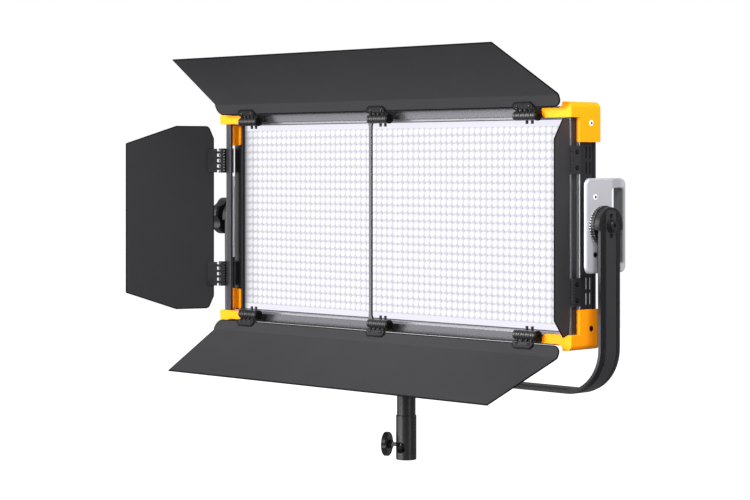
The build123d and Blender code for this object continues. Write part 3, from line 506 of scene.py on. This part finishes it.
def slope_yoke_rims(bm):
    """Leans the outermost edges of the yoke band inwards, so that its rims catch less light, then paints the
    rims darker as painted shade and the faces towards the front lighter as painted light.
    """
    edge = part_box("yoke")[1].y - 0.05 * MM
    moves = []
    for vert in bm.verts:
        if abs(vert.co.y) < edge:
            continue
        normals = [f.normal for f in vert.link_faces if abs(f.normal.y) < 0.5]
        if normals:
            moves.append((vert, sum(normals, Vector()).normalized()))
    for vert, normal in moves:
        vert.co -= normal * RIM_SLOPE
    for face in bm.faces:
        # Painted shade on the rims, painted light on the faces towards the front.
        if abs(face.calc_center_median().y) > RIM_SHADE_START and abs(face.normal.y) < 0.8:
            face.material_index = 1
        elif face.normal.y < -0.8:
            face.material_index = 3


def mark_bar_side(bm):
    """The right side of the centre bar stands in its own shade."""
    for face in bm.faces:
        face.material_index = 1 if face.normal.x > 0.6 else 0


def mark_rail_lips(bm):
    """Gives the rail's inner step, nearest the lens, a lighter colour than the rail's front."""
    for face in bm.faces:
        middle = face.calc_center_median()
        inward = face.normal.z * (middle.z - PIVOT_Z) < 0
        if inward and abs(face.normal.z) > 0.9 or face.normal.y < -0.9 and middle.y > LIP_Y:
            face.material_index = 1


def round_grip(bm):
    """Rounds the front outer edge of the grip bar, where fingers close round it."""
    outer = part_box("end_plate_right")[1].x - 0.4 * MM
    chosen = []
    for edge in bm.edges:
        ends = [v.co for v in edge.verts]
        if all(abs(c.x) > outer and abs(c.y - GRIP_FRONT) < 0.3 * MM for c in ends):
            chosen.append(edge)
    bmesh.ops.bevel(bm, geom=chosen, offset=GRIP_ROUND, segments=6, profile=0.5, affect="EDGES",
                     clamp_overlap=True)


def shape_plate(bm):
    """The rounded grip, and a near-white face on the side towards the head, painted light on a face that
    stands in shade.
    """
    round_grip(bm)
    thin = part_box("end_plate_right")[1].x - 4 * MM
    for face in bm.faces:
        middle = face.calc_center_median()
        inward = face.normal.x * middle.x < 0 and abs(face.normal.x) > 0.9
        # This face stands in shade between plate and frame; painted light makes it near-white.
        if inward and abs(abs(middle.x) - thin) < 0.5 * MM:
            face.material_index = 1


def mark_teeth(bm):
    """Near-white lands on the teeth of the tilt disc, a painted highlight where the tips catch light."""
    for face in bm.faces:
        middle = face.calc_center_median()
        reach = math.hypot(middle.y, middle.z - PIVOT_Z)
        if reach > DISC_LAND and abs(face.normal.x) < 0.5:
            face.material_index = 1


def disc_collars():
    """Smooth dark collars over the outer part of each tilt disc, so that short teeth show beside them."""
    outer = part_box("tilt_discs")[1].x
    rings = [(0, COLLAR_BORE), (0, COLLAR_EDGE), (0.3 * MM, DISC_R), (4.0 * MM, DISC_R),
             (4.2 * MM, COLLAR_EDGE), (4.2 * MM, COLLAR_BORE)]
    bm = bmesh.new()
    for side in (-1, 1):
        turned(bm, (side * (outer - COLLAR_DEPTH), 0, PIVOT_Z), (side, 0, 0), rings, 64, hollow=True)
    publish(to_mesh(bm, "collars"), "disc_collars", "head", "moulded_black")


def arm_hole_seats():
    """Countersunk seats round the two blind holes in the outside of each yoke arm, near-black as painted
    shade.
    """
    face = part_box("yoke")[1].x
    rings = [(-0.1 * MM, ARM_HOLE_R), (-0.1 * MM, ARM_SEAT_R), (0.15 * MM, ARM_SEAT_R - 0.2 * MM),
             (0.05 * MM, ARM_HOLE_R)]
    bm = bmesh.new()
    for side in (-1, 1):
        for level in (-1, 1):
            place = (side * face, 0, PIVOT_Z + level * ARM_HOLE_OFFSET)
            turned(bm, place, (side, 0, 0), rings, 32, hollow=True)
    publish(to_mesh(bm, "seats"), "arm_hole_seats", "yoke", "moulded_black", ["socket_black"])


def side_screws(node, place_y, offset, surface, radius):
    """Screw heads on the right and left faces, lit and shaded copies: near-white with a painted highlight
    above the pivot, black below it.
    """
    bm = bmesh.new()
    for side in (-1, 1):
        for level in (-1, 1):
            base = Vector((side * surface, place_y, PIVOT_Z + level * offset))
            before = set(bm.faces)
            screw_head(bm, base, (side, 0, 0), radius, 0.9 * MM)
            # The heads below the pivot take the black, shaded copy.
            if level < 0:
                for face in set(bm.faces) - before:
                    face.material_index = 1 if face.material_index else 2
    piece = publish(to_mesh(bm, node), node + "_heads", "head", "dark_screw",
                    ["highlight_white", "socket_black", "dark_screw"])
    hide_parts(node)


def hinge_screw_heads():
    """Round black heads over the screws in the side hinges' rail leaves."""
    bm, heads = cad_copy("rail_screws"), bmesh.new()
    for island in islands(bm):
        points = [v.co for f in island for v in f.verts]
        reach = max(abs(c.x) for c in points)
        if reach < SIDE_HINGE_X:
            continue
        side = 1 if points[0].x > 0 else -1
        y = sum(c.y for c in points) / len(points)
        z = sum(c.z for c in points) / len(points)
        screw_head(heads, (side * (reach - 0.7 * MM), y, z), (side, 0, 0), 3.1 * MM, 0.9 * MM)
    bm.free()
    publish(to_mesh(heads, "hinge_heads"), "hinge_screw_heads", "head", "dark_screw",
            ["pin_black_and_edge_shade", "socket_black"])


LEAF_VIEW = {"top": (0, -0.7, -0.7), "bottom": (0, -0.7, 0.7), "right": (1, 0, 0), "left": (-1, 0, 0)}


def islands(bm):
    """The connected solids of a mesh, as lists of faces."""
    left, found = set(bm.faces), []
    while left:
        stack, island = [left.pop()], []
        while stack:
            face = stack.pop()
            island.append(face)
            for edge in face.edges:
                for other in edge.link_faces:
                    if other in left:
                        left.remove(other)
                        stack.append(other)
        found.append(island)
    return found


def door_hinges(side):
    """Door leaves with a moulded recess, a near-black outline of painted shade and two screws each."""
    node = side + "_door_hinges"
    bm = cad_copy(node)
    view, screws = Vector(LEAF_VIEW[side]), []
    along = Vector((0, 0, 1)) if side in ("right", "left") else Vector((1, 0, 0))
    plates = []
    for island in islands(bm):
        face = max((f for f in island if f.normal.dot(view) > 0.3), key=lambda f: f.calc_area())
        middle = face.calc_center_bounds()
        plates.append(face)
        for offset in (-10 * MM, 10 * MM):
            screws.append((middle + along * offset, face.normal.copy()))
    # The inset outline and the rounded edges take the painted edge shade.
    outline_shade = bmesh.ops.inset_region(bm, faces=plates, thickness=1.3 * MM, depth=-0.25 * MM,
                                     use_even_offset=True)["faces"]
    for face in outline_shade:
        face.material_index = 1
    round_edges(bm, 0.3 * MM, 2, 32, 1)
    for place, normal in screws:
        screw_head(bm, place, normal, 2.1 * MM, 0.8 * MM)
    piece = publish(to_mesh(bm, node), node + "_leaves", BODY_OF[node], "hinge_black",
                    ["hinge_black", "pin_black_and_edge_shade"])
    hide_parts(node)


def threaded_stud():
    """The thumbscrew's stud, with its thread modelled as a run of ridges."""
    knob_low, knob_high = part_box("thumbscrew_knob")
    centre = (knob_low + knob_high) / 2
    axis = Vector((centre.x, centre.y, 0)).normalized()
    base = Vector((0, 0, centre.z))
    profile, along, ridge = [(7.6 * MM, 1.9 * MM)], THREAD_START, True
    while along < THREAD_END:
        profile.append((along, THREAD_CREST if ridge else THREAD_ROOT))
        along += THREAD_STEP
        ridge = not ridge
    bm = bmesh.new()
    turned(bm, base, axis, profile, 28)
    piece = publish(to_mesh(bm, "stud"), "thumbscrew_stud_thread", "thumbscrew", "bright_stud")
    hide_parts("thumbscrew_stud")


def soft_box(bm, low, high, width=0.2 * MM, material=0):
    """Adds a box with rounded edges."""
    verts = box_into(bm, low, high)
    edges = {e for v in verts for e in v.link_edges}
    for face in {f for v in verts for f in v.link_faces}:
        face.material_index = material
    bmesh.ops.bevel(bm, geom=list(edges), offset=width, segments=2, profile=0.6, affect="EDGES")


def highlight_strips():
    """Bright strips down the front outer corners of the main frame, a painted highlight, and bright vent
    louvres, a painted reflection.
    """
    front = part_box("frame_right")[0].y
    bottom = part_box("guard_bottom_right")[1].z
    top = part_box("guard_top_right")[0].z
    # Painted highlight strips along the frame's front outer corners.
    bm = bmesh.new()
    soft_box(bm, (HIGHLIGHT_STRIP_X[0], front - 0.4 * MM, bottom), (HIGHLIGHT_STRIP_X[1], front + 0.1 * MM, top), 0.15 * MM)
    publish(to_mesh(bm, "trim"), "frame_highlight_strips", "head", "frame_black", ["bright_trim"])
    # Bright louvres in the lower vents, a painted reflection.
    bm = bmesh.new()
    for side in (-1, 1):
        x = sorted(side * edge for edge in LOUVRE_X)
        for y in LOUVRE_Y:
            for drop in LOUVRE_DROP:
                z = PIVOT_Z - drop
                soft_box(bm, (x[0], y - LOUVRE_HALF_W, z - LOUVRE_HALF_H),
                         (x[1], y + LOUVRE_HALF_W, z + LOUVRE_HALF_H))
    publish(to_mesh(bm, "louvres"), "vent_louvres", "head", "frame_black", ["bright_trim"])


# ---------------------------------------------------------------- rear controls

def rear_details():
    """Dial ticks and button marks, a lit level meter, case and cover screws, and battery contacts."""
    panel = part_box("control_panel")[1].y
    bm = bmesh.new()
    for name in ("dial_dimmer", "dial_colour"):
        low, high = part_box(name)
        centre = (low + high) / 2
        for i in range(11):
            turn = math.radians(225 - 27 * i)
            reach = 0.5 * MM if i % 5 else 0.0
            inner, outer = 12.2 * MM, 14.0 * MM - reach
            for part in range(3):
                r = inner + (outer - inner) * (part + 0.5) / 3
                x, z = centre.x + r * math.cos(turn), centre.z + r * math.sin(turn)
                soft_box(bm, (x - 0.35 * MM, panel - 0.05 * MM, z - 0.35 * MM),
                         (x + 0.35 * MM, panel + 0.15 * MM, z + 0.35 * MM), 0.08 * MM)
    for name in ("button_menu", "button_mode", "button_back"):
        low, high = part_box(name)
        x = (low.x + high.x) / 2
        soft_box(bm, (x - 3 * MM, panel - 0.05 * MM, low.z - 3.0 * MM),
                 (x + 3 * MM, panel + 0.15 * MM, low.z - 2.3 * MM), 0.08 * MM)
    publish(to_mesh(bm, "marks"), "panel_marks", "head", "moulded_black", ["mark_white"])

    low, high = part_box("display")
    bm = bmesh.new()
    for i in range(14):
        x = low.x + 6 * MM + i * 4 * MM
        height = (3 + i * 1.4) * MM
        soft_box(bm, (x, high.y - 0.1 * MM, low.z + 5 * MM),
                 (x + 2.6 * MM, high.y + 0.1 * MM, low.z + 5 * MM + height), 0.08 * MM)
    soft_box(bm, (low.x + 6 * MM, high.y - 0.1 * MM, high.z - 8 * MM),
             (low.x + 24 * MM, high.y + 0.1 * MM, high.z - 5 * MM), 0.08 * MM)
    publish(to_mesh(bm, "meter"), "display_meter", "head", "display_glass", ["display_lit"])

    case_low, case_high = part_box("controller_case")
    cover_low, cover_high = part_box("rear_cover")
    bm = bmesh.new()
    for side in (-1, 1):
        for z in (case_low.z + 9 * MM, case_high.z - 9 * MM):
            for x in (294 * MM, 165 * MM):
                screw_head(bm, (side * x, case_high.y - 0.1 * MM, z), (0, 1, 0), 2.8 * MM, 1.3 * MM)
        for z in (cover_low.z + 6 * MM, cover_high.z - 6 * MM):
            for x in (300 * MM, 150 * MM):
                screw_head(bm, (side * x, cover_high.y - 0.1 * MM, z), (0, 1, 0), 2.8 * MM, 1.3 * MM)
    publish(to_mesh(bm, "screws"), "rear_screws", "head", "dark_screw", ["dark_screw", "socket_black"])

    bm = bmesh.new()
    for side in (-1, 1):
        for i in range(4):
            x = side * BATTERY_X + (i - 1.5) * 5 * MM
            soft_box(bm, (x - 1.2 * MM, case_high.y + 2.9 * MM, PIVOT_Z - 12 * MM),
                     (x + 1.2 * MM, case_high.y + 3.9 * MM, PIVOT_Z - 2 * MM), 0.3 * MM)
    publish(to_mesh(bm, "contacts"), "battery_contacts", "head", "port_steel", ["contact_brass"])


# ---------------------------------------------------------------- camera, light, floor

def make_camera():
    """Level camera to the front right of the light, framed a little low."""
    camera = bpy.data.objects.new("camera", bpy.data.cameras.new("camera"))
    camera.location = (1.9987, -2.0591, 0.402)
    camera.rotation_euler = (math.radians(90), 0, math.radians(45))
    camera.data.lens = 100.8
    camera.data.sensor_width = 36
    camera.data.shift_y = -0.1133
    camera.data.clip_end = 50
    bpy.context.scene.collection.objects.link(camera)
    bpy.context.scene.camera = camera


AMBIENT = 0.33
LAMPS = (
    ("front_softbox", (-0.9, -3.0, 1.3), (0, 0, 0.3), (1.2, 1.6), 195),
    ("left_softbox", (-2.3, -2.1, 0.5), (0, 0, 0.33), (1.6, 2.0), 30),
    ("right_softbox", (2.1, 0.1, 1.5), (0.3, 0, 0.4), (0.5, 1.6), 6),
    ("corner_lamp", (0.85, -0.25, 0.95), (0.33, -0.02, 0.42), (0.35, 0.35), 7.5),
    ("strip_left", (-0.8, -3.0, -0.2), (0, 0, 0.06), (0.5, 1.2), 13),
    ("strip_right", (2.7, -0.2, -0.4), (0, 0, 0.02), (0.5, 0.9), 4),
    ("fill_panel", (1.95, -2.0, 0.47), (0, 0, 0.33), (0.4, 0.4), 46),
    ("rear_softbox", (-0.5, 3.0, 1.7), (0, 0, 0.33), (1.8, 1.4), 165),
    ("rear_left_softbox", (-2.2, 2.2, 0.7), (0, 0, 0.33), (1.2, 1.6), 60),
)


def area_light(name, place, target, size, power):
    data = bpy.data.lights.new(name, "AREA")
    data.shape = "RECTANGLE"
    data.size, data.size_y = size
    data.energy = power
    lamp = bpy.data.objects.new(name, data)
    lamp.location = place
    lamp.visible_camera = False
    lamp.visible_glossy = not name.startswith(("fill", "rear"))
    lamp.rotation_euler = (Vector(target) - Vector(place)).to_track_quat("-Z", "Y").to_euler()
    bpy.context.scene.collection.objects.link(lamp)


def make_studio():
    """White surroundings to the eye, a dimmer even light on the object, and the lamps."""
    world = bpy.data.worlds.new("studio")
    bpy.context.scene.world = world
    world.use_nodes = True
    nodes, links = world.node_tree.nodes, world.node_tree.links
    nodes["Background"].inputs["Color"].default_value = (1, 1, 1, 1)
    path = nodes.new("ShaderNodeLightPath")
    remap = nodes.new("ShaderNodeMapRange")
    remap.inputs["To Min"].default_value = AMBIENT
    remap.inputs["To Max"].default_value = 1.0
    links.new(path.outputs["Is Camera Ray"], remap.inputs["Value"])
    links.new(remap.outputs["Result"], nodes["Background"].inputs["Strength"])
    for lamp in LAMPS:
        area_light(*lamp)
    bpy.context.scene.view_settings.view_transform = "Standard"


def make_floor():
    bm = bmesh.new()
    bmesh.ops.create_circle(bm, cap_ends=True, segments=96, radius=14)
    bmesh.ops.translate(bm, vec=(0, 0, -0.9), verts=bm.verts)
    mesh = bpy.data.meshes.new("floor")
    bm.to_mesh(mesh)
    bm.free()
    s = Shader("pale_floor").set(Roughness=0.9, Specular_IOR_Level=0.0, Emission_Strength=0.9)
    s.bsdf.inputs["Emission Color"].default_value = (1, 1, 1, 1)
    s.link(s.mix(s.noise(3, 2), (0.9, 0.9, 0.9, 1), (0.93, 0.93, 0.93, 1)), s.bsdf.inputs["Base Color"])
    mesh.materials.append(s.material)
    floor = bpy.data.objects.new("floor", mesh)
    floor.visible_diffuse = False
    floor.visible_glossy = False
    bpy.context.scene.collection.objects.link(floor)


# ---------------------------------------------------------------- build

MATERIALS = make_materials()
make_camera()
make_studio()
make_floor()
lens_panel(1, "right")
lens_panel(-1, "left")
DONE = {"lens_panel_right", "lens_panel_left", "thumbscrew_stud", "guard_screws", "plate_screws"}
for side in ("top", "bottom", "right", "left"):
    door(side + "_door")
    door_hinges(side)
    DONE |= {side + "_door", side + "_door_hinges"}
guard_screw_low, guard_screw_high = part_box("guard_screws")
plate_screw_low, plate_screw_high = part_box("plate_screws")
side_screws("guard_screws", (guard_screw_low.y + guard_screw_high.y) / 2,
            guard_screw_high.z - 2.5 * MM - PIVOT_Z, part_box("guard_top_right")[1].x - 0.1 * MM, 3.7 * MM)
side_screws("plate_screws", (plate_screw_low.y + plate_screw_high.y) / 2,
            plate_screw_high.z - 3.6 * MM - PIVOT_Z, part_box("end_plate_right")[1].x - 0.1 * MM, 3.6 * MM)
hinge_screw_heads()
disc_collars()
arm_hole_seats()
threaded_stud()
highlight_strips()
rear_details()
SHAPING = {
    # Yoke: painted shade on the rims, a painted highlight on the rounded edges, painted light on the front
    # faces.
    "yoke": {"width": 0.5 * MM, "change": slope_yoke_rims, "edge": 2,
             "materials": ["yoke_black", "yoke_rim_shade", "yoke_edge_highlight", "yoke_side_lit"]},
    # Side rails: rounded edges take the painted highlight.
    "rail_right": {"width": 0.5 * MM, "materials": ["side_rail", "rail_edge_highlight"], "edge": 1},
    "rail_left": {"width": 0.5 * MM, "materials": ["side_rail", "rail_edge_highlight"], "edge": 1},
    "centre_bar": {"width": 0.25 * MM, "change": mark_bar_side, "materials": ["rail_black", "socket_black"]},
    "tilt_stud": {"materials": ["dark_screw"]},
    "rail_top": {"change": mark_rail_lips, "materials": ["rail_black", "rail_lip"]},
    "rail_bottom": {"change": mark_rail_lips, "materials": ["rail_black", "rail_lip"]},
    # End plates: rounded edges take the painted edge shade; the face towards the head takes painted light.
    "end_plate_right": {"width": 0.9 * MM, "segments": 3, "change": shape_plate,
                        "materials": ["plate_silver", "highlight_white", "plate_edge_shade"], "edge": 2},
    "end_plate_left": {"width": 0.9 * MM, "segments": 3, "change": shape_plate,
                       "materials": ["plate_silver", "highlight_white", "plate_edge_shade"], "edge": 2},
    "hinge_pins": {"width": 0.3 * MM, "materials": ["pin_black_and_edge_shade"]},
    # Rail hinges: rounded edges take the near-black painted edge shade.
    "rail_hinges": {"width": 0.3 * MM, "materials": ["hinge_black", "pin_black_and_edge_shade"], "edge": 1},
    "stand_receiver": {"width": 0.5 * MM, "materials": ["receiver_black"]},
    "tilt_knob": {"width": 1.0 * MM, "segments": 3},
    "thumbscrew_knob": {"width": 0.8 * MM, "segments": 3},
    # Tilt discs: tooth lands take the painted highlight.
    "tilt_discs": {"width": 0.12 * MM, "change": mark_teeth, "materials": ["moulded_black", "highlight_white"]},
}
for corner in ("top_right", "top_left", "bottom_right", "bottom_left"):
    SHAPING["guard_" + corner] = {"width": 0.9 * MM, "segments": 3}
for node, obj in NODES.items():
    if node in DONE:
        continue
    obj.data.materials.clear()
    obj.data.materials.append(MATERIALS[SLOT_OF[node]])
    refined(node, **SHAPING.get(node, {}))
